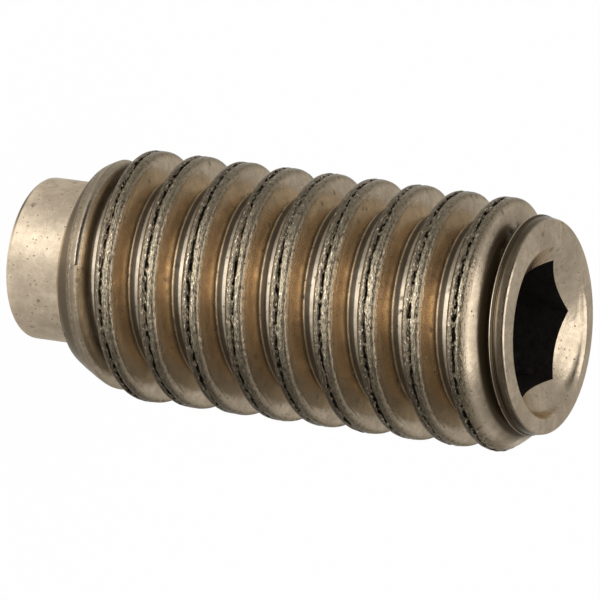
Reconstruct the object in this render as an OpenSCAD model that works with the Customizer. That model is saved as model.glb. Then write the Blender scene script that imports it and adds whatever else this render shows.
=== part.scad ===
// Socket set screw with a half dog point: a headless screw with a rolled 60 degree thread over
// its length, a plain cylindrical point at the bottom and a hexagon socket in the top.
// It is turned and rolled from one bar, so it is one solid. Z is the axis, with the flat of the
// point on z = 0 and the socket facing up. Sizes are in millimetres.

/* [Overall] */
// Length from the flat of the point to the face round the socket
screw_length = 9.4; // [7.6:0.05:12.8]
// Diameter over the crests of the thread
major_d = 4.14; // [4:0.01:4.4]

/* [Thread] */
// Advance of the thread in one turn, for 32 turns to the inch
pitch = 0.79375; // [0.76:0.00125:0.9]
// Depth of the thread from its crest to its root
thread_depth = 0.47; // [0.42:0.01:0.5]
// Angle of each flank from a plane square to the axis
flank_angle = 30; // [26:1:32]
// Width of the narrow flat at the root
root_w = 0.05; // [0.02:0.01:0.08]
// Width along the axis of each rounded shoulder of a crest
shoulder_w = 0.065; // [0.04:0.005:0.08]
// Height that a crest loses over its shoulder
shoulder_drop = 0.06; // [0.03:0.01:0.08]
// Width of the seam that rolling leaves along a crest
seam_w = 0.075; // [0.04:0.005:0.1]
// Depth of that seam
seam_depth = 0.035; // [0.01:0.005:0.05]
// Angle from +X at which a crest line crosses the plane of the point's flat
thread_angle = -12.5; // [-180:0.5:180]

/* [Dog point] */
// Diameter of the point
point_d = 2.7; // [2.3:0.01:2.9]
// Length of the point, up to the shoulder
point_length = 0.96; // [0.6:0.01:1.4]
// Radius of the rounded edge at the tip
tip_round = 0.13; // [0.04:0.01:0.3]
// Angle between the shoulder behind the point and the axis
neck_angle = 60; // [40:1:75]
// Diameter to which the shoulder rises, where the first crest starts
start_d = 3.34; // [3.2:0.01:3.9]
// Angle to the axis at which the first crests grow to the full diameter
start_angle = 30; // [12:1:45]

/* [Socket end] */
// Diameter of the flat face round the socket
face_d = 3.54; // [3.35:0.01:3.6]
// Diameter of the lower edge of the collar outside that face, which the thread's groove runs into
collar_d = 3.57; // [3.56:0.01:3.75]
// Length of the collar
collar_length = 0.25; // [0.15:0.01:0.5]
// Angle between the chamfer below the collar and the axis
chamfer_angle = 38; // [20:1:50]

/* [Socket] */
// Distance across the flats of the hexagon
hex_af = 2.03; // [1.6:0.01:2.2]
// Depth of the hexagon below the face
hex_depth = 3.2; // [1.4:0.1:4.6]
// Angle of one corner of the hexagon from +X
hex_angle = 48; // [0:1:60]
// Full angle of the cone at the bottom of the socket
bottom_angle = 120; // [90:1:150]
// Width of the ledge between the flats of the hexagon and that cone
bottom_step = 0.03; // [0.01:0.01:0.1]
// Diameter of the countersink at the face
countersink_d = 2.92; // [2.7:0.01:3.2]
// Full angle of the countersink
countersink_angle = 120; // [80:1:130]
// Width of the steep rim round the countersink
rim_w = 0.08; // [0.03:0.01:0.1]
// Depth of that rim
rim_depth = 0.1; // [0.04:0.01:0.2]

/* [Smoothness] */
// Steps in one turn of the thread
turn_steps = 36; // [24:4:40]
// Steps in the rounded edge of the tip
round_steps = 5; // [3:1:8]

/* [Hidden] */

// Cuts run this far past the faces they open through
overcut = 0.5;
// The tapers of the blank stop this far outside the crests
crest_clear = 0.05;
// The foot of the collar reaches this far under the root of the thread
foot_sink = 0.05;
// The collar's lower edge lies this far above the start of the chamfer
edge_clear = 0.02;

major_r = major_d / 2;
point_r = point_d / 2;
start_r = start_d / 2;
face_r = face_d / 2;
collar_r = collar_d / 2;
blank_r = major_r + crest_clear;

// Heights of the corners of the blank, from the point to the socket
neck_top = point_length + (start_r - point_r) / tan(neck_angle);
start_top = neck_top + (blank_r - start_r) / tan(start_angle);
chamfer_top = screw_length - collar_length;
chamfer_bottom = chamfer_top - (blank_r - collar_r) / tan(chamfer_angle);

// One pitch of the thread from root to root, as [place along the axis, depth below the crest]
crest_w = pitch - root_w - 2 * (thread_depth - shoulder_drop) * tan(flank_angle);
section = [
    [-(pitch - root_w) / 2, thread_depth],
    [-crest_w / 2, shoulder_drop],
    [-crest_w / 2 + shoulder_w, 0],
    [crest_w / 2 - shoulder_w - seam_w, 0],
    [crest_w / 2 - shoulder_w - seam_w / 2, seam_depth],
    [crest_w / 2 - shoulder_w, 0],
    [crest_w / 2, shoulder_drop],
    [(pitch - root_w) / 2, thread_depth]
];

// The ridge starts two turns below the point's flat and ends past the face, so that the blank
// cuts both of its ends
first_turn = -2;
last_turn = ceil(screw_length / pitch) + 1;
lines_per_turn = len(section);
line_count = lines_per_turn * (last_turn - first_turn);

// Point of thread line i at step j round the axis: each line climbs one pitch in a turn
function thread_point(i, j) =
    let (
        turn = first_turn + floor(i / lines_per_turn),
        spot = section[i % lines_per_turn],
        angle = 360 * j / turn_steps,
        r = major_r - spot[1]
    )
    [
        r * cos(angle),
        r * sin(angle),
        pitch * (turn + (angle - thread_angle) / 360) + spot[0]
    ];

// Number of that point in the list: after a whole turn a line goes on as the line one turn up
function thread_index(i, j) =
    j == turn_steps ? thread_index(i + lines_per_turn, 0)
    : i <= line_count ? j * (line_count + 1) + i
    : turn_steps * (line_count + 1) + i - line_count - 1;

// Edge of the threaded surface that starts at line i: once round, then back along the axis
function rim(i) = concat(
    [for (j = [0 : turn_steps - 1]) thread_index(i, j)],
    [for (back = [0 : lines_per_turn - 1]) thread_index(i + lines_per_turn - back, 0)]
);

// A fan of triangles from one point on the axis to a rim
function fan(tip, edge) = [
    for (k = [0 : len(edge) - 1]) [tip, edge[k], edge[(k + 1) % len(edge)]]
];

function flipped(faces) = [for (f = faces) [f[0], f[2], f[1]]];

// The endless thread round a solid core, as one closed helical surface
module thread_form() {
    low_tip = turn_steps * (line_count + 1) + lines_per_turn;
    points = concat(
        [for (j = [0 : turn_steps - 1]) for (i = [0 : line_count]) thread_point(i, j)],
        [for (i = [1 : lines_per_turn]) thread_point(line_count + i, 0)],
        [[0, 0, pitch * (first_turn - 1)], [0, 0, pitch * (last_turn + 2)]]
    );
    sides = [
        for (j = [0 : turn_steps - 1])
            for (i = [0 : line_count - 1])
                for (upper = [true, false])
                    upper
                        ? [thread_index(i, j), thread_index(i + 1, j), thread_index(i + 1, j + 1)]
                        : [thread_index(i, j), thread_index(i + 1, j + 1), thread_index(i, j + 1)]
    ];
    polyhedron(
        points = points,
        faces = concat(sides, fan(low_tip, rim(0)), flipped(fan(low_tip + 1, rim(line_count))))
    );
}

// The core of the collar: its lower side is as steep as a flank of the thread, and the blank cuts
// its outside to size
module collar_core() {
    foot_r = major_r - thread_depth - foot_sink;
    edge = chamfer_top + edge_clear;
    rotate_extrude($fn = 96)
        polygon([
            [0, edge - (collar_r - foot_r) * tan(flank_angle)],
            [foot_r, edge - (collar_r - foot_r) * tan(flank_angle)],
            [blank_r, edge + (blank_r - collar_r) * tan(flank_angle)],
            [blank_r, screw_length + overcut],
            [0, screw_length + overcut]
        ]);
}

// The turned blank: point, shoulder, first taper, chamfer, collar and flat face
module blank() {
    rounding = [
        for (k = [0 : round_steps])
            let (a = 90 * k / round_steps)
            [point_r - tip_round * (1 - sin(a)), tip_round * (1 - cos(a))]
    ];
    rotate_extrude($fn = 96)
        polygon(concat(
            [[0, 0]],
            rounding,
            [
                [point_r, point_length],
                [start_r, neck_top],
                [blank_r, start_top],
                [blank_r, chamfer_bottom],
                [collar_r, chamfer_top],
                [face_r, screw_length],
                [0, screw_length]
            ]
        ));
}

// The hexagon with the cone below it and the dished countersink at its mouth
module socket() {
    corner_r = hex_af / 2 / cos(30);
    bottom_r = hex_af / 2 - bottom_step;
    bottom_h = bottom_r / tan(bottom_angle / 2);
    sink_r = countersink_d / 2;
    dish_r = sink_r - rim_w;
    dish_z = screw_length - rim_depth;
    translate([0, 0, screw_length - hex_depth])
        rotate([0, 0, hex_angle])
            cylinder(h = hex_depth + overcut, r = corner_r, $fn = 6);
    translate([0, 0, screw_length - hex_depth])
        rotate_extrude($fn = 96)
            polygon([[0, -bottom_h], [bottom_r, 0], [bottom_r, overcut], [0, overcut]]);
    rotate_extrude($fn = 96)
        polygon([
            [0, dish_z - dish_r / tan(countersink_angle / 2)],
            [dish_r, dish_z],
            [sink_r, screw_length],
            [sink_r, screw_length + overcut],
            [0, screw_length + overcut]
        ]);
}

module set_screw() {
    color([0.62, 0.56, 0.48])
        difference() {
            intersection() {
                blank();
                union() {
                    thread_form();
                    collar_core();
                }
            }
            socket();
        }
}

set_screw();
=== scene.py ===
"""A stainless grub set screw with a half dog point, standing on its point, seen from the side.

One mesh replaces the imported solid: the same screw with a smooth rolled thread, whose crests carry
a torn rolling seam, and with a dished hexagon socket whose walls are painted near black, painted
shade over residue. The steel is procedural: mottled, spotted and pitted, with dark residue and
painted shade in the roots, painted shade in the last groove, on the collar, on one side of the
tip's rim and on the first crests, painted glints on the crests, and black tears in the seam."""
import math

import bpy
import numpy as np
from mathutils import Matrix, Vector


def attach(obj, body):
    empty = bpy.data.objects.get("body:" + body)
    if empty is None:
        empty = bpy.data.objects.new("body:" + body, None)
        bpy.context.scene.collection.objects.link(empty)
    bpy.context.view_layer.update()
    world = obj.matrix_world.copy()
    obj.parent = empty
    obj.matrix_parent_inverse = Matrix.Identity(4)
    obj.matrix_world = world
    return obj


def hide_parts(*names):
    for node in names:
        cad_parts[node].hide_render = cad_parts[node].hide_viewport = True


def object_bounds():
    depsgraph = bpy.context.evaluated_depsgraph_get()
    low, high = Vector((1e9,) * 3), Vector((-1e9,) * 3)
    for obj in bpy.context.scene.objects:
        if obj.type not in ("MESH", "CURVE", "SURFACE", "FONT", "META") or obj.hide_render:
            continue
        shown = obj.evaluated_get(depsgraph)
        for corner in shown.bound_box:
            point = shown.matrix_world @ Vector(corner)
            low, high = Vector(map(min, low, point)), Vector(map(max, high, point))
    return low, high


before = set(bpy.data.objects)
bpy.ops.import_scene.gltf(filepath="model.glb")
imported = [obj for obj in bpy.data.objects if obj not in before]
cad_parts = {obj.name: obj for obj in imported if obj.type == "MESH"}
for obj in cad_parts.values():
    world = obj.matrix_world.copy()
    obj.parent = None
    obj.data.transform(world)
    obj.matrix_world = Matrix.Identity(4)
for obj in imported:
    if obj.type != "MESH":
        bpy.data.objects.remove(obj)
cad_low, cad_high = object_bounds()

MM = 0.001
SEED = 832

# The screw, from the frame where it states the size
LENGTH = cad_high.z
MAJOR_R = (cad_high.x - cad_low.x) / 2
CREST_R = MAJOR_R - 0.010 * MM
PITCH = 25.4 * MM / 32
DEPTH = 0.425 * MM
FLANK = math.radians(30)
THREAD_TURN = 8 / 360
CREST_W = 0.33 * MM
CREST_POWER = 5
SHOULDER_DROP = 0.05 * MM

# Widths over which corners of the thread are rounded: in the root, at the foot of a shoulder, and
# where the blank, the neck's cone and the collar cut it
ROOT_BLEND = 0.008 * MM
SHOULDER_BLEND = 0.012 * MM
BLANK_BLEND = 0.04 * MM
NECK_BLEND = 0.03 * MM
COLLAR_BLEND = 0.05 * MM

# Rolling seam along the crests, and the share of its depth that it loses where a crest is cut
SEAM_SIDE = -0.020 * MM
SEAM_W = 0.024 * MM
SEAM_DEPTH = 0.038 * MM
SEAM_STRENGTH = 0.75
TURNED_LOSS = 0.8

# Waves along the thread, each as its height and the spacing of its knots: of the seam's place,
# width and strength, of its lips, and of the crest
PLACE_WAVES = ((0.020 * MM, 0.9 * MM), (0.008 * MM, 0.13 * MM))
WIDTH_WAVES = ((0.35, 0.3 * MM),)
STRENGTH_WAVES = ((0.45, 0.7 * MM), (0.25, 0.11 * MM))
LIP_WAVES = ((0.007 * MM, 0.09 * MM),)
CREST_WAVES = ((0.004 * MM, 1.7 * MM),)

# Place of the seam's lips and spread of its ragged edge, in widths of the seam
LIP_PLACE = 2.0
RAGGED_W = 2.1

# Crown of a crest: its reach in half widths, and the power with which it ends
CROWN_REACH = 1.1
CROWN_POWER = 6

# A crest counts as cut by the blank once this much is missing. Near the point it then keeps one
# ridge of its crown, placed in half widths, and near the socket a small share of it all
TURNED_FROM = 0.04 * MM
TURNED_FADE = 0.08 * MM
RIDGE_PLACE = 0.20
RIDGE_W = 0.12
TOP_SHARE = 0.15

# Dark residue and painted shade before the middle of a root, and painted shade on the foot of the flank
# behind it
ROOT_DARK = 0.117 * MM
ROOT_FADE = 0.034 * MM
FOOT_SHADE_W = 0.095 * MM
FOOT_FADE = 0.020 * MM
FOOT_SHARE = 0.45

# A dark line on one side of a crown, placed in half widths of the crown
EDGE_LINE_PLACE = -0.96
EDGE_LINE_W = 0.020 * MM
EDGE_LINE_SHARE = 0.9

# The turned ends lie this far off the axis of the rolled thread, towards -X
RUN_OUT = -0.053 * MM

# Point, shoulder and the growing first crests. The threaded grid starts at NECK_JOIN
POINT_R = 1.34 * MM
POINT_LENGTH = 0.99 * MM
TIP_ROUND = 0.13 * MM
NECK_SLOPE = math.tan(math.radians(60))
START_R = 1.70 * MM
START_SLOPE = math.tan(math.radians(28))
NECK_JOIN = 1.11 * MM

# Painted shade on the cut first crests near the point: where it ends, and its share by the distance
# past the crest line in millimetres
NECK_SHADE_TOP = POINT_LENGTH + 0.85 * MM
NECK_SHADE_FADE = 0.15 * MM
NECK_SHADE_PLACES = (0.0, 0.1, 0.22)
NECK_SHADE_SHARES = (0.92, 0.75, 0.40)

# Socket end: a plain collar outside a crowned face that leans out of square, rising towards +X by
# FACE_LEAN and towards +Y by FACE_SLANT. CHAMFER_DROP lowers the chamfer below the collar
FACE_R = 1.742 * MM
FACE_LEAN = 0.0675
FACE_SLANT = 0.011
FACE_CROWN = 0.03 * MM
COLLAR_R = 1.785 * MM
COLLAR_LENGTH = 0.25 * MM
CHAMFER_SLOPE = math.tan(math.radians(38))
CHAMFER_DROP = 0.03 * MM
FACE_HEIGHT = LENGTH - FACE_LEAN * FACE_R - FACE_CROWN / 2

# Painted shade in the deep groove that runs out into the collar: how far below the collar it starts,
# and how deep the groove has to be, as a share of the thread's depth
COLLAR_ZONE = 0.40 * MM
COLLAR_FADE = 0.2 * MM
SUNK_FROM = 0.42
SUNK_FADE = 0.3
SUNK_SHADE = 0.9

# Socket
HEX_FLAT = 1.005 * MM
HEX_DEPTH = 3.2 * MM
HEX_TURN = math.radians(48)
SINK_R = 1.435 * MM
SINK_EDGE = 0.015 * MM
SINK_RIM = 0.08 * MM
SINK_DROP = 0.11 * MM
SINK_SLOPE = math.tan(math.radians(60))
BOTTOM_STEP = 0.03 * MM
BOTTOM_SLOPE = math.tan(math.radians(60))

# Mesh steps: columns round the axis, and rows across one pitch as shares of it from the crest
COLUMNS = 270
COLUMN_ANGLES = np.arange(COLUMNS) * 2 * math.pi / COLUMNS
HALF_ROWS = (
    0.010, 0.030, 0.050, 0.070, 0.090, 0.115, 0.140, 0.165,
    0.190, 0.215, 0.240, 0.353, 0.395, 0.430, 0.481,
)
ROWS = np.array([-0.5] + [-s for s in reversed(HALF_ROWS)] + list(HALF_ROWS))

# The grid runs on by some turns past both ends, and rows this close to an end fall onto it
SPARE_TURNS = 3
END_MARGIN = 0.006 * MM

# Rings at the socket end, as shares of the way over each surface: the face, the countersink's
# rim and its dish, the walls of the hexagon, and the radii of the cone at its bottom
FACE_RINGS = (0.35, 0.7, 1.0)
RIM_SHARES = (0.08, 0.5, 0.9)
DISH_RINGS = (0.05, 0.25, 0.5, 0.75, 1.0)
WALL_RINGS = (0.02, 0.1, 0.25, 0.45, 0.7, 1.0)
CONE_RINGS = (1.0, 0.6, 0.25)

# What the mesh carries for its material, and the column of the painted shade among it
MASKS = ("seam", "crown", "line", "painted_shade", "along", "across")
PAINTED_SHADE = MASKS.index("painted_shade")

# Painted shade as a dark rim on one side of the tip's rounded edge: its first ring, their number, and its
# middle and spread
RIM_RING = 5
RIM_RINGS = 6
RIM_ANGLE = math.radians(234)
RIM_SPREAD = math.radians(26)

# Darkening on the collar's rings, painted shade in the furrow: none on the bead, most in the furrow, some
# on the band
COLLAR_SHADE = (0.0, 0.3, 1.1, 1.1, 1.1, 1.1, 1.0, 0.95, 0.95, 0.95, 0.8, 0.3, 0.0, 0.0, 0.0)

# Share of the floor's look that is plain white, to the camera and in the metal. Then the world's
# light: all round, low down at the side, and the share of it that is left low down in front
FLOOR_GLOW = 0.985
FLOOR_MIRROR_GLOW = 0.3
WORLD_LIGHT = 0.47
SIDE_LIGHT = 0.25
FRONT_SHARE = 0.15

# The floor and the cards on it, in millimetres
FLOOR_HALF = 1000
FLOOR_HEIGHT = -0.005
GLOW_CORNERS = 48

# The floor's glow in reflections: its strength by direction in degrees, over the whole floor and
# close to the point, with the radius in millimetres of each
FAR_GLOW_R = 60
FAR_GLOWS = (
    (-180, 0.45), (-145, 0.90), (-131, 1.50), (-113, 3.40), (-98, 3.85), (-80, 2.60), (-50, 0.80),
    (-15, 0.22), (30, 0.20), (60, 0.45), (100, 0.65), (150, 0.60), (180, 0.36),
)
NEAR_GLOW_R = 4.5
NEAR_GLOWS = (
    (-180, 0.60), (-150, 0.80), (-130, 0.95), (-113, 1.50), (-98, 1.40), (-84, 1.00), (-60, 0.75),
    (-33, 0.60), (0, 0.50), (60, 0.55), (150, 0.60), (180, 0.70),
)

# The photograph's camera. The place of the screw's tip is in pixels, and DISTANCE in radii of
# the screw
YAW = 0.4398
ROLL = 0.1370
FRAME_SIZE = 600
PIXELS_PER_R = 125.2
TIP_X = 40.8
TIP_Y = 260.3
DISTANCE = 84.6
SENSOR = 36


def smooth_noise(place, spacing, rng):
    """Noise along a line: random heights from -1 to 1 at evenly spaced knots, joined by the
    smooth step 3t^2 - 2t^3."""
    knots = rng.uniform(-1, 1, int(np.max(place) / spacing) + 3)
    where = np.clip(place, 0, None) / spacing
    low = where.astype(int)
    part = where - low
    part = part * part * (3 - 2 * part)
    return knots[low] * (1 - part) + knots[low + 1] * part


def wavy(value, run, waves, rng):
    """The value with waves along the thread added, each a height and a spacing of its knots."""
    for height, spacing in waves:
        value = value + height * smooth_noise(run, spacing, rng)
    return value


def bell(value, middle, width):
    """The bell curve exp(-((value - middle) / width)^2)."""
    return np.exp(-(((value - middle) / width) ** 2))


def ramp(value, width):
    """A share that grows from 0 to 1 while the value grows from 0 to the width."""
    return np.clip(value / width, 0, 1)


def soft_min(a, b, blend):
    """The smaller of two values, with the corner between them rounded over the width blend."""
    near = np.clip(0.5 + 0.5 * (b - a) / blend, 0, 1)
    return b * (1 - near) + a * near - blend * near * (1 - near)


def soft_max(a, b, blend):
    """The larger of two values, with the corner between them rounded over the width blend."""
    return -soft_min(-a, -b, blend)


def run_out(angle):
    """How far the turned ends stand out past the thread's axis in a direction."""
    return RUN_OUT * np.cos(angle)


def face_height(angle, radius):
    """Height of the leaning socket face over a point at an angle and radius."""
    return FACE_HEIGHT + FACE_LEAN * radius * np.cos(angle) + FACE_SLANT * radius * np.sin(angle)


def blank_radius(height, angle):
    """Radius that the turned blank leaves to the crests: a straight taper behind the shoulder,
    and the chamfer and the collar below the leaning face."""
    neck_top = POINT_LENGTH + (START_R - POINT_R) / NECK_SLOPE
    start = START_R + (height - neck_top) * START_SLOPE
    below = face_height(angle, FACE_R) - height
    chamfer = COLLAR_R + (below - COLLAR_LENGTH - CHAMFER_DROP) * CHAMFER_SLOPE
    return np.minimum(start, np.maximum(chamfer, COLLAR_R)) + run_out(angle)


def collar_radius(height, angle):
    """Radius of the collar's edge, which falls below it as steeply as a flank of the thread."""
    below = face_height(angle, FACE_R) - height - COLLAR_LENGTH
    return COLLAR_R - np.maximum(below, 0) / math.tan(FLANK) + run_out(angle)


def neck_radius(height, angle):
    """Radius of the straight cone between the point and the first crests."""
    return POINT_R + (height - POINT_LENGTH) * NECK_SLOPE + run_out(angle)


def crown_share(offset, crown_half, height, turned):
    """How much of a place is crown. Of a crest that is cut, the ridge or the small share stays."""
    at_neck = height < LENGTH / 2
    reach = CROWN_REACH * np.where(at_neck, crown_half, CREST_W / 2)
    on_crown = np.clip(1 - (np.abs(offset) / reach) ** CROWN_POWER, 0, 1)
    ridge = np.where(at_neck, bell(offset / crown_half, RIDGE_PLACE, RIDGE_W), TOP_SHARE)
    return on_crown * (1 - turned * (1 - ridge))


def dark_lines(offset, crown_half):
    """The lines along the thread: dark residue and painted shade in the root, painted shade on the foot of
    the flank behind it, and a dark line on one side of the crown.
    """
    dark_root = ramp(offset - PITCH / 2 + ROOT_DARK, ROOT_FADE)
    foot_shade = FOOT_SHARE * ramp(-offset - PITCH / 2 + FOOT_SHADE_W, FOOT_FADE)
    edge_line = EDGE_LINE_SHARE * bell(offset, EDGE_LINE_PLACE * crown_half, EDGE_LINE_W)
    return np.maximum(np.maximum(dark_root, foot_shade), edge_line)


def thread_surface(offset, run, height, angle, rng):
    """Radius of the rolled thread, with its MASKS: shares of seam, crown, line and painted shade, and the
    distances along and across the crest in millimetres. The line is dark residue and painted shade in
    the root, painted shade on the foot of the flank and a dark line beside the crown; the painted shade
    here darkens the cut first crests near the point. offset is the distance along the axis from the
    crest line, run the distance travelled along the helix. A crest is a crown that drops with a power
    of the offset, the flanks are straight, the root is rounded, and the seam is a bell-shaped furrow
    between two lips that wanders beside the middle of the crown."""
    limit = soft_min(np.full(np.shape(height), CREST_R), blank_radius(height, angle), BLANK_BLEND)
    missing = CREST_R - limit
    crown_half = CREST_W / 2 + missing * math.tan(FLANK)
    crown = missing + SHOULDER_DROP * (np.abs(offset) / crown_half) ** CREST_POWER
    flank = SHOULDER_DROP + (np.abs(offset) - CREST_W / 2) / math.tan(FLANK)
    depth = soft_min(soft_max(crown, flank, SHOULDER_BLEND), DEPTH, ROOT_BLEND)

    place = wavy(SEAM_SIDE, run, PLACE_WAVES, rng)
    width = SEAM_W * wavy(1, run, WIDTH_WAVES, rng)
    furrow = np.clip(wavy(SEAM_STRENGTH, run, STRENGTH_WAVES, rng), 0, None)
    lip = wavy(0, run, LIP_WAVES, rng)
    turned = ramp(missing - TURNED_FROM, TURNED_FADE)
    furrow = furrow * (1 - TURNED_LOSS * turned)
    shore = bell(np.abs(offset - place), LIP_PLACE * width, width)
    on_crown = crown_share(offset, crown_half, height, turned)
    depth = depth + on_crown * (SEAM_DEPTH * furrow * bell(offset, place, width) - lip * shore)
    radius = wavy(CREST_R - depth, run, CREST_WAVES, rng)

    ragged = bell(offset, place, RAGGED_W * width) * on_crown * (1 - turned)
    # Painted shade on the cut first crests near the point
    near_neck = ramp(NECK_SHADE_TOP - height, NECK_SHADE_FADE)
    behind = np.interp(offset / MM, NECK_SHADE_PLACES, NECK_SHADE_SHARES)
    painted_shade = near_neck * turned * (1 - on_crown) * behind
    line = dark_lines(offset, crown_half)
    return radius, np.stack([ragged, on_crown, line, painted_shade, run / MM, offset / MM], -1)


def screw_surface(offset, run, height, angle, rng):
    """Radius of the threaded part, between the neck's cone and the collar, and its masks."""
    radius, masks = thread_surface(offset, run, height, angle, rng)
    radius = soft_min(radius, neck_radius(height, angle), NECK_BLEND)
    radius = soft_max(radius, collar_radius(height, angle), COLLAR_BLEND)
    # Painted shade in the last groove below the collar, where it is deep
    above = height - face_height(angle, FACE_R) + COLLAR_LENGTH + COLLAR_ZONE
    sunk = ramp((CREST_R - radius) / DEPTH - SUNK_FROM, SUNK_FADE)
    painted_shade = SUNK_SHADE * ramp(above, COLLAR_FADE) * sunk
    masks[..., PAINTED_SHADE] = np.maximum(masks[..., PAINTED_SHADE], painted_shade)
    return radius, masks


def hexagon_radius(angle):
    """Distance from the axis to the hexagon's side in a direction."""
    sixth = math.pi / 3
    turned = np.mod(angle - HEX_TURN, sixth) - sixth / 2
    return HEX_FLAT / np.cos(turned)


def polar_points(radius, angle, height, shift=0.0):
    """Points at radii, angles and heights, moved by shift along X."""
    return np.column_stack([radius * np.cos(angle) + shift, radius * np.sin(angle), height])


def ring(radius, height, shift=0.0):
    """Points round the axis at one height, for a radius and height that may change with the
    angle, moved by shift along X."""
    radius = np.broadcast_to(radius, (COLUMNS,))
    height = np.broadcast_to(height, (COLUMNS,))
    return polar_points(radius, COLUMN_ANGLES, height, shift)


def strip(first, second):
    """Triangles between two rings of point numbers, the second further along the surface."""
    a, b = np.roll(first, -1), np.roll(second, -1)
    return np.concatenate([np.column_stack([first, a, b]), np.column_stack([first, b, second])])


def thread_grid():
    """Threaded surface from the neck to the collar's edge, as points, masks, triangles and the
    numbers of its two end rings. Row i of column j climbs by one pitch in a turn, so a column's
    last neighbour is the row one pitch up in the first column. Points past an end all fall onto
    that end's ring."""
    rng = np.random.default_rng(SEED)
    rows = len(ROWS)
    turns = int(math.ceil(LENGTH / PITCH)) + 2 * SPARE_TURNS
    row = np.arange(rows * turns)[:, None]
    share = ROWS[row % rows]
    whole = row // rows - SPARE_TURNS
    column = np.arange(COLUMNS + 1)[None, :]
    angle = 2 * math.pi * column / COLUMNS
    along = whole + column / COLUMNS - THREAD_TURN
    height = PITCH * (along + share)
    run = (along - np.min(along)) * 2 * math.pi * MAJOR_R
    low = np.full(angle.shape, NECK_JOIN)
    high = face_height(angle, FACE_R) - COLLAR_LENGTH
    place = np.clip(height, low, high)
    angle = np.broadcast_to(angle, height.shape)
    radius, masks = screw_surface(share * PITCH + (place - height), run, place, angle, rng)
    past_low, past_high = height <= low + END_MARGIN, height >= high - END_MARGIN
    state = np.where(past_low, -1, np.where(past_high, 1, 0))

    number = np.full(height.shape, -1)
    free = (state == 0) & (column < COLUMNS)
    number[free] = 2 * COLUMNS + np.arange(np.count_nonzero(free))
    low_ring = np.arange(COLUMNS)
    high_ring = COLUMNS + np.arange(COLUMNS)
    number = np.where(state == -1, low_ring[column % COLUMNS], number)
    number = np.where(state == 1, high_ring[column % COLUMNS], number)
    number[:-rows, COLUMNS] = number[rows:, 0]
    number[-rows:, COLUMNS] = high_ring[0]

    points = [polar_points(radius[free], angle[free], height[free])]
    all_masks = [masks[free]]
    for level in (high[0, :COLUMNS], low[0, :COLUMNS]):
        turn = COLUMN_ANGLES / (2 * math.pi) - THREAD_TURN
        phase = level / PITCH - turn
        offset = (phase - np.round(phase)) * PITCH
        still = np.zeros(COLUMNS)
        r, m = screw_surface(offset, still, level, COLUMN_ANGLES, np.random.default_rng(SEED))
        points.insert(0, ring(r, level))
        all_masks.insert(0, m)
    a, b = number[:-1, :-1], number[:-1, 1:]
    c, d = number[1:, 1:], number[1:, :-1]
    halves = [np.stack(corners, -1).reshape(-1, 3) for corners in ((a, b, c), (a, c, d))]
    faces = np.concatenate(halves)
    first, second, third = faces.T
    real = (first != second) & (second != third) & (first != third)
    return np.concatenate(points), np.concatenate(all_masks), faces[real], low_ring, high_ring


def point_rings():
    """Radius and height of the rings from near the middle of the tip to the neck: flat, rounded
    edge, plain cylinder, and a small fillet into the neck's cone."""
    rings = [(r, 0) for r in (0.25 * MM, 0.6 * MM, 0.9 * MM, POINT_R - TIP_ROUND)]
    rings += [
        (POINT_R - TIP_ROUND * (1 - math.sin(a)), TIP_ROUND * (1 - math.cos(a)))
        for a in np.linspace(0, math.pi / 2, 9)[1:]
    ]
    rings += [(POINT_R, h) for h in np.linspace(TIP_ROUND, POINT_LENGTH - 0.04 * MM, 7)[1:]]
    rings += [
        (POINT_R + (h - POINT_LENGTH) * NECK_SLOPE + lift, h)
        for h, lift in (
            (POINT_LENGTH, 0.006 * MM),
            (POINT_LENGTH + 0.03 * MM, 0.006 * MM),
            (POINT_LENGTH + 0.07 * MM, 0.0),
        )
    ]
    return rings


def collar_rings():
    """Radius and depth below the face of the rings from the collar's edge to the face: a raised
    bead, a shallow turned furrow, the plain band and the rounded edge of the face. The band gives
    the lift off the collar's cone and the depth, in millimetres."""
    band = [
        (0.008, 0.243), (0.010, 0.233), (0.004, 0.222), (-0.012, 0.208), (-0.020, 0.194),
        (-0.018, 0.180), (-0.008, 0.166), (0.000, 0.152), (0.0, 0.120), (0.0, 0.080), (0.0, 0.045),
        (-0.002, 0.030), (-0.008, 0.018), (-0.018, 0.008), (-0.032, 0.002),
    ]
    return [
        (FACE_R + (COLLAR_R - FACE_R) * below * MM / COLLAR_LENGTH + lift * MM, below * MM)
        for lift, below in band
    ]


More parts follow.
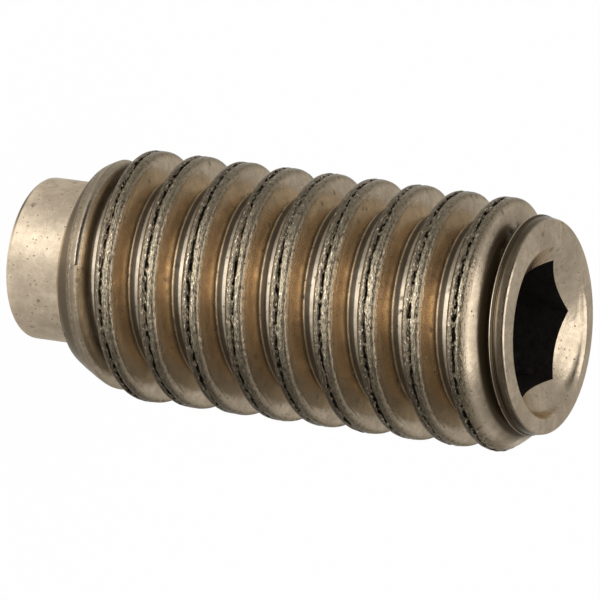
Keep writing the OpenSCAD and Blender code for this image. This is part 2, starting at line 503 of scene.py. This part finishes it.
def set_screw_mesh():
    """The whole screw as one closed surface: a chain of rings from the middle of the tip out and
    up to the thread, the threaded grid, and rings over the collar and the face, down the
    countersink and the socket to the middle of its bottom. Returns points, masks, triangles and
    the first socket face."""
    points, masks, faces, low_ring, high_ring = thread_grid()
    points, faces = [points], [faces]
    grid_count = count = len(points[0])

    def add(new):
        """Adds points and returns their numbers."""
        nonlocal count
        points.append(new)
        count += len(new)
        return np.arange(count - len(new), count)

    def grow(radius, height, shift=0.0):
        """Adds a ring and joins it to the one before."""
        nonlocal previous
        following = add(ring(radius, height, shift))
        faces.append(strip(previous, following))
        previous = following

    rings = point_rings()
    pole = add(np.array([[RUN_OUT, 0, 0]]))
    previous = add(ring(*rings[0], RUN_OUT))
    middle = np.broadcast_to(pole, COLUMNS)
    faces.append(np.column_stack([middle, np.roll(previous, -1), previous]))
    for radius, height in rings[1:]:
        grow(radius, height, RUN_OUT)
    faces.append(strip(previous, low_ring))

    previous = high_ring
    collar_start = count - grid_count
    rings = collar_rings()
    for radius, below in rings:
        grow(radius, face_height(COLUMN_ANGLES, radius) - below, RUN_OUT)
    edge = rings[-1][0]
    for part in FACE_RINGS:
        r = edge + (SINK_R + SINK_EDGE - edge) * part
        height = face_height(COLUMN_ANGLES, r) + FACE_CROWN * part
        grow(r, height, RUN_OUT * (1 - part))
    corner = hexagon_radius(COLUMN_ANGLES)
    rim = SINK_R - SINK_RIM
    rim_height = FACE_HEIGHT + FACE_CROWN - SINK_DROP
    for part in RIM_SHARES:
        r = SINK_R - SINK_RIM * part
        height = face_height(COLUMN_ANGLES, r) + FACE_CROWN
        grow(r, height * (1 - part) + rim_height * part)
    for part in DISH_RINGS:
        r = rim * (1 - part) + corner * part
        grow(r, rim_height - (rim - r) / SINK_SLOPE)
    socket_start = sum(len(f) for f in faces)
    mouth = rim_height - (rim - corner) / SINK_SLOPE
    floor = FACE_HEIGHT - HEX_DEPTH
    for part in WALL_RINGS:
        grow(corner, mouth + (floor - mouth) * part)
    bottom_r = HEX_FLAT - BOTTOM_STEP
    for part in CONE_RINGS:
        r = bottom_r * part
        grow(r, floor - (bottom_r - r) / BOTTOM_SLOPE)
    pole = add(np.array([[0, 0, floor - bottom_r / BOTTOM_SLOPE]]))
    middle = np.broadcast_to(pole, COLUMNS)
    faces.append(np.column_stack([previous, np.roll(previous, -1), middle]))

    plain = np.zeros((count - grid_count, len(MASKS)))
    # Painted shade on one side of the tip's rounded edge, and darkening on the collar's rings
    tip_start = (RIM_RING - 1) * COLUMNS + 1
    tip = slice(tip_start, tip_start + RIM_RINGS * COLUMNS)
    plain[tip, PAINTED_SHADE] = np.tile(bell(COLUMN_ANGLES, RIM_ANGLE, RIM_SPREAD), RIM_RINGS)
    collar = slice(collar_start, collar_start + len(COLLAR_SHADE) * COLUMNS)
    plain[collar, PAINTED_SHADE] = np.repeat(COLLAR_SHADE, COLUMNS)
    masks = np.concatenate([masks, plain])
    return np.concatenate(points), masks, np.concatenate(faces), socket_start


def add_node(tree, kind, values=(), **settings):
    """A node with its settings, and its inputs filled from values: input name or number to a
    socket to link, or to a plain value."""
    node = tree.nodes.new(kind)
    for name, value in settings.items():
        setattr(node, name, value)
    for key, value in dict(values).items():
        if isinstance(value, bpy.types.NodeSocket):
            tree.links.new(value, node.inputs[key])
        else:
            node.inputs[key].default_value = value
    return node


def calculate(tree, operation, first, second=0.0, third=0.0):
    """The result of one Math node."""
    return add_node(tree, "ShaderNodeMath", {0: first, 1: second, 2: third}, operation=operation).outputs[0]


def step_between(tree, value, low, high):
    """A soft step from 0 at low to 1 at high."""
    values = {"Value": value, "From Min": low, "From Max": high}
    return add_node(tree, "ShaderNodeMapRange", values, interpolation_type="SMOOTHSTEP").outputs[0]


def scaled(tree, value, low, high):
    """A share from 0 to 1 stretched to run from low to high."""
    return add_node(tree, "ShaderNodeMapRange", {"Value": value, "To Min": low, "To Max": high}).outputs[0]


def blend_colors(tree, share, first, second):
    """The first colour, turning into the second where share is 1."""
    mix = tree.nodes.new("ShaderNodeMix")
    mix.data_type = "RGBA"
    for socket, value in ((mix.inputs[0], share), (mix.inputs[6], first), (mix.inputs[7], second)):
        if isinstance(value, bpy.types.NodeSocket):
            tree.links.new(value, socket)
        else:
            socket.default_value = (*value, 1) if isinstance(value, tuple) else value
    return mix.outputs[2]


def stained(tree, color, stains):
    """A colour under stains, each a mask, the share of it that shows, and a colour."""
    for mask, share, stain in stains:
        color = blend_colors(tree, calculate(tree, "MULTIPLY", mask, share), color, stain)
    return color


def new_material(name):
    """A material, its node tree and its Principled shader."""
    material = bpy.data.materials.new(name)
    material.use_nodes = True
    return material, material.node_tree, material.node_tree.nodes["Principled BSDF"]


def add_bump(tree, shader, height):
    """Bumps the shader's surface by a height in millimetres."""
    bump = add_node(tree, "ShaderNodeBump", {"Strength": 1.0, "Distance": MM, "Height": height})
    tree.links.new(bump.outputs[0], shader.inputs["Normal"])


def millimetres(tree):
    """Object coordinates in millimetres."""
    place = tree.nodes.new("ShaderNodeTexCoord").outputs["Object"]
    return add_node(tree, "ShaderNodeVectorMath", {0: place, 3: 1 / MM}, operation="SCALE").outputs[0]


def noise(tree, place, scale, detail=3.0, roughness=0.6, distortion=0.0):
    """Fractal noise, about a half on average."""
    values = {"Vector": place, "Scale": scale, "Detail": detail, "Roughness": roughness}
    values["Distortion"] = distortion
    return add_node(tree, "ShaderNodeTexNoise", values).outputs[0]


def new_group(name, inputs, outputs):
    """An empty shader node group: its inputs are floats, given as name to default, and its
    outputs are given as name to kind of socket."""
    group = bpy.data.node_groups.new(name, "ShaderNodeTree")
    for label, value in inputs.items():
        socket = group.interface.new_socket(name=label, in_out="INPUT", socket_type="NodeSocketFloat")
        socket.default_value = value
    for label, kind in outputs.items():
        group.interface.new_socket(name=label, in_out="OUTPUT", socket_type=kind)
    return group, group.nodes.new("NodeGroupInput").outputs, group.nodes.new("NodeGroupOutput").inputs


def use_group(tree, group):
    """The outputs of a node group, with its inputs at their defaults."""
    node = tree.nodes.new("ShaderNodeGroup")
    node.node_tree = group
    return node.outputs


def mottle_group():
    """Cloudy stain of the steel: broad blotches broken up by a finer cloud. Blotches and Cloud
    are shares from 0 to 1, Grain is a very fine noise."""
    group, given, result = new_group(
        "Steel mottle",
        {"Blotch Scale": 1.6, "Cloud Scale": 7.0},
        {"Blotches": "NodeSocketFloat", "Cloud": "NodeSocketFloat", "Grain": "NodeSocketFloat"},
    )
    place = millimetres(group)
    broad = noise(group, place, given["Blotch Scale"], 5, 0.62, 0.4)
    cloud = noise(group, place, given["Cloud Scale"], 6, 0.75, 0.6)
    grain = noise(group, place, 38.0, 2, 0.6)
    group.links.new(step_between(group, broad, 0.36, 0.66), result["Blotches"])
    group.links.new(step_between(group, cloud, 0.30, 0.72), result["Cloud"])
    group.links.new(grain, result["Grain"])
    return group


def spots_group():
    """Dark spots and pits: cells of two sizes, of which a share holds a round mark whose edge a
    noise frays. Amount runs from 0, none, to 1, in every cell."""
    group, given, result = new_group(
        "Steel spots",
        {"Spot Scale": 4.5, "Pit Scale": 15.0, "Amount": 0.22},
        {"Spots": "NodeSocketFloat", "Pits": "NodeSocketFloat"},
    )
    place = millimetres(group)
    fray = noise(group, place, 22.0, 3, 0.65)
    kinds = (("Spots", "Spot Scale", 0.10, 0.30), ("Pits", "Pit Scale", 0.13, 0.27))
    for label, size, low, high in kinds:
        cells = add_node(group, "ShaderNodeTexVoronoi", {"Vector": place, "Scale": given[size]})
        frayed = calculate(group, "MULTIPLY", fray, 0.35)
        reach = calculate(group, "ADD", cells.outputs["Distance"], frayed)
        mark = step_between(group, reach, high + 0.17, low + 0.17)
        pick = add_node(group, "ShaderNodeSeparateColor", {0: cells.outputs["Color"]}).outputs[0]
        chosen = calculate(group, "LESS_THAN", pick, given["Amount"])
        group.links.new(calculate(group, "MULTIPLY", mark, chosen), result[label])
    return group


# The steel's colours: clean, under each stain, under painted shade and as painted glints, and its roughness
# where it is clean
CLEAN_STEEL = (0.80, 0.675, 0.515)
DULL_STEEL = (0.52, 0.425, 0.315)
BROWN_STAIN = (0.30, 0.24, 0.175)
CREST_OLIVE = (0.22, 0.18, 0.12)
SPOT_BROWN = (0.10, 0.075, 0.055)
SEAM_BLACK = (0.012, 0.010, 0.008)
# Dark residue and painted shade in the roots, painted shade on the flanks' feet, and a dark line beside
# each crown
ROOT_BROWN = (0.045, 0.030, 0.014)
# Bare steel a little lighter than clean steel: painted glints on the crests
BARE_GLINT = (0.84, 0.71, 0.53)
# Painted shade in the last groove and the collar's furrow, on one side of the tip's rim and on the cut
# first crests
SHADE_BROWN = (0.082, 0.060, 0.036)
STEEL_ROUGHNESS = 0.14
STEEL_SPECULAR = 0.15
STEEL_TINT = (0.95, 0.90, 0.82, 1)
LINE_METAL = 0.3

# The socket walls' near black, painted shade over residue, and the spots on it
SOCKET_SHADE = (0.010, 0.009, 0.008)
SOCKET_SHADE_WORN = (0.020, 0.017, 0.014)
SOCKET_SHADE_SPOT = (0.035, 0.028, 0.020)

# Across a crest in millimetres: where its left half begins and is full, and where the painted glints
# of bare steel end on its right. Then what tearing adds to the seam's mask at least and at most
LEFT_HALF = (-0.020, -0.060)
GLINTS_END = (0.11, 0.05)
TORN = (-0.10, 0.50)


def thread_mask(tree, name):
    """One of the masks that the mesh carries for its thread."""
    return add_node(tree, "ShaderNodeAttribute", attribute_name=name).outputs["Fac"]


def crest_tears(tree, seam, crown):
    """Marks of the torn seam, stretched along the crest: black tears in and beside the seam, dark
    specks over the crown, specks of bare steel painted lighter as glints except on its right side,
    and the roughness of the crown as a height."""
    along, across = thread_mask(tree, "along"), thread_mask(tree, "across")
    narrow = calculate(tree, "MULTIPLY", across, 2.2)
    grains = add_node(tree, "ShaderNodeCombineXYZ", {0: along, 1: narrow}).outputs[0]
    coarse = noise(tree, grains, 9.0, 3, 0.6)
    fine = noise(tree, grains, 13.0, 2, 0.6)
    drawn = calculate(tree, "MULTIPLY", along, 0.12)
    lines = add_node(tree, "ShaderNodeCombineXYZ", {0: drawn, 1: across}).outputs[0]
    lines = noise(tree, lines, 34.0, 2, 0.7)
    stretches = add_node(tree, "ShaderNodeCombineXYZ", {0: along}).outputs[0]
    amount = scaled(tree, noise(tree, stretches, 0.45, 2, 0.6), *TORN)
    torn = calculate(tree, "MULTIPLY", seam, calculate(tree, "MULTIPLY_ADD", coarse, -2.2, 2.0))
    tears = step_between(tree, calculate(tree, "ADD", torn, amount), 0.92, 1.10)
    specks = calculate(tree, "MULTIPLY", crown, step_between(tree, fine, 0.46, 0.38))
    glints = calculate(tree, "MULTIPLY", crown, step_between(tree, fine, 0.58, 0.68))
    glints = calculate(tree, "MULTIPLY", glints, step_between(tree, across, *GLINTS_END))
    relief = calculate(tree, "MULTIPLY", crown, calculate(tree, "MULTIPLY_ADD", fine, 0.5, coarse))
    relief = calculate(tree, "MULTIPLY_ADD", calculate(tree, "MULTIPLY", crown, lines), 0.45, relief)
    return tears, specks, glints, relief


def stainless_material(mottle, spots):
    """Satin stainless steel: clean metal clouded with dull and brown stain, spotted and pitted,
    with olive crests whose seam is torn open and black, painted glints on the crests, dark residue
    and painted shade in the roots, and painted shade in the last groove, on the collar, on one side
    of the tip's rim and on the first crests."""
    material, tree, shader = new_material("stainless_steel")
    clouds = use_group(tree, mottle)
    marks = use_group(tree, spots)
    shares = ("seam", "crown", "line", "painted_shade")
    seam, crown, line, painted_shade = (thread_mask(tree, name) for name in shares)
    tears, specks, glints, relief = crest_tears(tree, seam, crown)
    left = step_between(tree, thread_mask(tree, "across"), *LEFT_HALF)
    left = calculate(tree, "MULTIPLY", crown, left)

    color = stained(tree, CLEAN_STEEL, (
        (clouds["Cloud"], 0.75, DULL_STEEL),
        (clouds["Blotches"], 0.35, BROWN_STAIN),
        (crown, 0.92, CREST_OLIVE),
        (left, 0.45, SPOT_BROWN),
        (marks["Spots"], 0.5, SPOT_BROWN),
        (marks["Pits"], 0.6, SPOT_BROWN),
        # painted shade in the last groove, on the collar, on one side of the tip's rim and on the first
        # crests
        (painted_shade, 1.0, SHADE_BROWN),
        (specks, 0.8, SPOT_BROWN),
        # painted glints of bare steel
        (glints, 0.6, BARE_GLINT),
        # dark residue and painted shade in the roots, painted shade on the flanks' feet, and a dark line
        # beside the crown
        (line, 0.9, ROOT_BROWN),
        (tears, 1.0, SEAM_BLACK),
    ))
    tree.links.new(color, shader.inputs["Base Color"])
    shader.inputs["Specular IOR Level"].default_value = STEEL_SPECULAR
    shader.inputs["Specular Tint"].default_value = STEEL_TINT
    tree.links.new(scaled(tree, line, 1.0, LINE_METAL), shader.inputs["Metallic"])

    worn = STEEL_ROUGHNESS
    for mark, more in ((clouds["Cloud"], 0.07), (clouds["Blotches"], 0.05), (marks["Spots"], 0.2)):
        worn = calculate(tree, "MULTIPLY_ADD", mark, more, worn)
    worn = calculate(tree, "MAXIMUM", worn, calculate(tree, "MULTIPLY", tears, 0.85))
    tree.links.new(worn, shader.inputs["Roughness"])

    height = calculate(tree, "MULTIPLY", clouds["Cloud"], 0.0012)
    marks_height = (
        (clouds["Grain"], 0.0004), (marks["Pits"], -0.004), (relief, 0.016), (tears, -0.018),
    )
    for mark, lift in marks_height:
        height = calculate(tree, "MULTIPLY_ADD", mark, lift, height)
    add_bump(tree, shader, height)
    return material


def socket_material(mottle, spots):
    """The walls of the hexagon, painted near black: painted shade of the deep socket over residue of
    broaching and oil.
    """
    material, tree, shader = new_material("socket_shade_residue")
    shader.inputs["Metallic"].default_value = 0
    shader.inputs["Specular IOR Level"].default_value = 0.25
    clouds = use_group(tree, mottle)
    marks = use_group(tree, spots)
    color = blend_colors(tree, clouds["Cloud"], SOCKET_SHADE, SOCKET_SHADE_WORN)
    color = blend_colors(tree, marks["Spots"], color, SOCKET_SHADE_SPOT)
    tree.links.new(color, shader.inputs["Base Color"])
    tree.links.new(scaled(tree, clouds["Cloud"], 0.45, 0.65), shader.inputs["Roughness"])
    add_bump(tree, shader, calculate(tree, "MULTIPLY", clouds["Cloud"], 0.01))
    return material


def make_screw():
    """The screw's piece: its mesh with masks, its two materials, and its place in the frame."""
    points, masks, faces, socket_start = set_screw_mesh()
    mesh = bpy.data.meshes.new("set_screw_steel")
    mesh.from_pydata(points.tolist(), [], faces.tolist())
    mottle, spots = mottle_group(), spots_group()
    mesh.materials.append(stainless_material(mottle, spots))
    mesh.materials.append(socket_material(mottle, spots))
    index = np.zeros(len(faces), dtype=np.int32)
    index[socket_start:] = 1
    mesh.polygons.foreach_set("material_index", index)
    mesh.polygons.foreach_set("use_smooth", np.ones(len(faces), dtype=bool))
    mesh.set_sharp_from_angle(angle=math.radians(55))
    for number, name in enumerate(MASKS):
        layer = mesh.attributes.new(name, "FLOAT", "POINT")
        layer.data.foreach_set("value", masks[:, number].astype(np.float32))
    mesh.update()
    screw = bpy.data.objects.new("set_screw_steel", mesh)
    bpy.context.scene.collection.objects.link(screw)
    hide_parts("set_screw")
    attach(screw, "root")


def camera_axes():
    """Right, up and back of the camera: the axis of the screw runs across the picture."""
    right = Vector((-math.sin(ROLL), math.sin(YAW) * math.cos(ROLL), math.cos(YAW) * math.cos(ROLL)))
    up = Vector((-math.cos(ROLL), -math.sin(YAW) * math.sin(ROLL), -math.cos(YAW) * math.sin(ROLL)))
    back = Vector((0, -math.cos(YAW), math.sin(YAW)))
    return right, up, back


def make_camera():
    """The photograph's camera, placed from the pixel of the screw's tip."""
    right, up, back = camera_axes()
    across = (FRAME_SIZE / 2 - TIP_X) / PIXELS_PER_R
    above = -(FRAME_SIZE / 2 - TIP_Y) / PIXELS_PER_R
    data = bpy.data.cameras.new("camera")
    data.sensor_width = SENSOR
    data.lens = DISTANCE * PIXELS_PER_R * SENSOR / FRAME_SIZE
    data.clip_start = 0.01
    data.clip_end = 10
    camera = bpy.data.objects.new("camera", data)
    place = (right * across + up * above + back * DISTANCE) * MAJOR_R
    camera.matrix_world = Matrix.Translation(place) @ Matrix((right, up, back)).transposed().to_4x4()
    bpy.context.scene.collection.objects.link(camera)
    bpy.context.scene.camera = camera


def stage_card(name, corners, material):
    """A flat card from its corners in millimetres."""
    mesh = bpy.data.meshes.new(name)
    points = [tuple(c * MM for c in corner) for corner in corners]
    mesh.from_pydata(points, [], [tuple(range(len(corners)))])
    mesh.materials.append(material)
    card = bpy.data.objects.new(name, mesh)
    bpy.context.scene.collection.objects.link(card)
    return card


def only_reflections(card):
    """Hides a card from everything but reflections."""
    card.visible_camera = False
    card.visible_diffuse = False
    card.visible_shadow = False
    card.visible_transmission = False


def make_floor():
    """Pale floor that shows white, with a part of it left to the lamps so that it takes the
    shadow."""
    material, tree, shader = new_material("floor")
    shader.inputs["Base Color"].default_value = (0.9, 0.9, 0.9, 1)
    shader.inputs["Roughness"].default_value = 0.9
    shader.inputs["Specular IOR Level"].default_value = 0
    path = tree.nodes.new("ShaderNodeLightPath")
    seen = [path.outputs[ray] for ray in ("Is Camera Ray", "Is Transmission Ray")]
    seen = calculate(tree, "MAXIMUM", *seen)
    share = calculate(tree, "MULTIPLY", seen, FLOOR_GLOW)
    share = calculate(tree, "MULTIPLY_ADD", path.outputs["Is Glossy Ray"], FLOOR_MIRROR_GLOW, share)
    glow = add_node(tree, "ShaderNodeEmission", {"Color": (1, 1, 1, 1)})
    mix = add_node(tree, "ShaderNodeMixShader", {0: share, 1: shader.outputs[0], 2: glow.outputs[0]})
    tree.links.new(mix.outputs[0], tree.nodes["Material Output"].inputs["Surface"])
    signs = ((-1, -1), (1, -1), (1, 1), (-1, 1))
    corners = [(x * FLOOR_HALF, y * FLOOR_HALF, FLOOR_HEIGHT) for x, y in signs]
    stage_card("floor", corners, material)


def make_lamp(name, direction, distance, size, watts, color=(1, 1, 1)):
    """An area lamp in a world direction from the middle of the screw, facing it."""
    data = bpy.data.lights.new(name, "AREA")
    data.shape = "RECTANGLE"
    data.size, data.size_y = size
    data.energy = watts
    data.color = color
    lamp = bpy.data.objects.new(name, data)
    aim = Vector(direction).normalized()
    lamp.location = Vector((0, 0, LENGTH / 2)) + aim * distance
    lamp.rotation_euler = aim.to_track_quat("Z", "Y").to_euler()
    bpy.context.scene.collection.objects.link(lamp)


def make_world():
    """Plain studio world: white where the camera sees it. As a light it is dim all round, dimmer
    low down at the side, and dark low down in front, where the room is unlit."""
    world = bpy.data.worlds.new("studio")
    world.use_nodes = True
    tree = world.node_tree
    way = tree.nodes.new("ShaderNodeTexCoord").outputs["Generated"]
    x, y, z = add_node(tree, "ShaderNodeSeparateXYZ", {0: way}).outputs
    in_front, low_front = step_between(tree, y, -0.05, -0.5), step_between(tree, z, 0.58, 0.36)
    front = calculate(tree, "MULTIPLY", in_front, low_front)
    beside, low_side = step_between(tree, x, 0.1, 0.7), step_between(tree, z, 0.35, 0.12)
    side = calculate(tree, "MULTIPLY", beside, low_side)
    light = calculate(tree, "MULTIPLY_ADD", side, SIDE_LIGHT - WORLD_LIGHT, WORLD_LIGHT)
    light = calculate(tree, "MULTIPLY", light, scaled(tree, front, 1.0, FRONT_SHARE))
    seen = tree.nodes.new("ShaderNodeLightPath").outputs["Is Camera Ray"]
    strength = calculate(tree, "MAXIMUM", light, seen)
    background = tree.nodes["Background"]
    background.inputs["Color"].default_value = (1.0, 0.98, 0.95, 1)
    tree.links.new(strength, background.inputs["Strength"])
    bpy.context.scene.world = world


def make_floor_glow(name, radius, height, glows, color):
    """A disc just above the floor that only reflections see, in millimetres. Its glow changes with
    the direction from the screw, given as pairs of degrees and strength."""
    material, tree, _ = new_material(name)
    place = tree.nodes.new("ShaderNodeTexCoord").outputs["Object"]
    x, y, _ = add_node(tree, "ShaderNodeSeparateXYZ", {0: place}).outputs
    turn = calculate(tree, "ARCTAN2", y, x)
    values = {"Value": turn, "From Min": -math.pi, "From Max": math.pi}
    share = add_node(tree, "ShaderNodeMapRange", values)
    colors = add_node(tree, "ShaderNodeValToRGB", {0: share.outputs[0]})
    stops = colors.color_ramp.elements
    while len(stops) < len(glows):
        stops.new(0.5)
    brightest = max(glow for _, glow in glows)
    for stop, (degrees, glow) in zip(stops, glows):
        stop.position = (degrees + 180) / 360
        stop.color = (glow / brightest, glow / brightest, glow / brightest, 1)
    strength = calculate(tree, "MULTIPLY", colors.outputs[0], brightest)
    glow = add_node(tree, "ShaderNodeEmission", {"Color": (*color, 1), "Strength": strength})
    tree.links.new(glow.outputs[0], tree.nodes["Material Output"].inputs["Surface"])
    turns = np.linspace(0, 2 * math.pi, GLOW_CORNERS + 1)[:-1]
    corners = [(radius * math.cos(a), radius * math.sin(a), height) for a in turns]
    only_reflections(stage_card(name, corners, material))


make_camera()
make_screw()
make_floor()
make_world()
make_floor_glow("far_glow", FAR_GLOW_R, 0.001, FAR_GLOWS, (0.97, 1.0, 1.02))
make_floor_glow("near_glow", NEAR_GLOW_R, 0.002, NEAR_GLOWS, (1.0, 0.98, 0.95))
make_lamp("overhead", (-0.13, -0.28, 0.95), 0.15, (0.17, 0.17), 0.10, (1, 0.98, 0.95))
bpy.context.scene.view_settings.view_transform = "Standard"
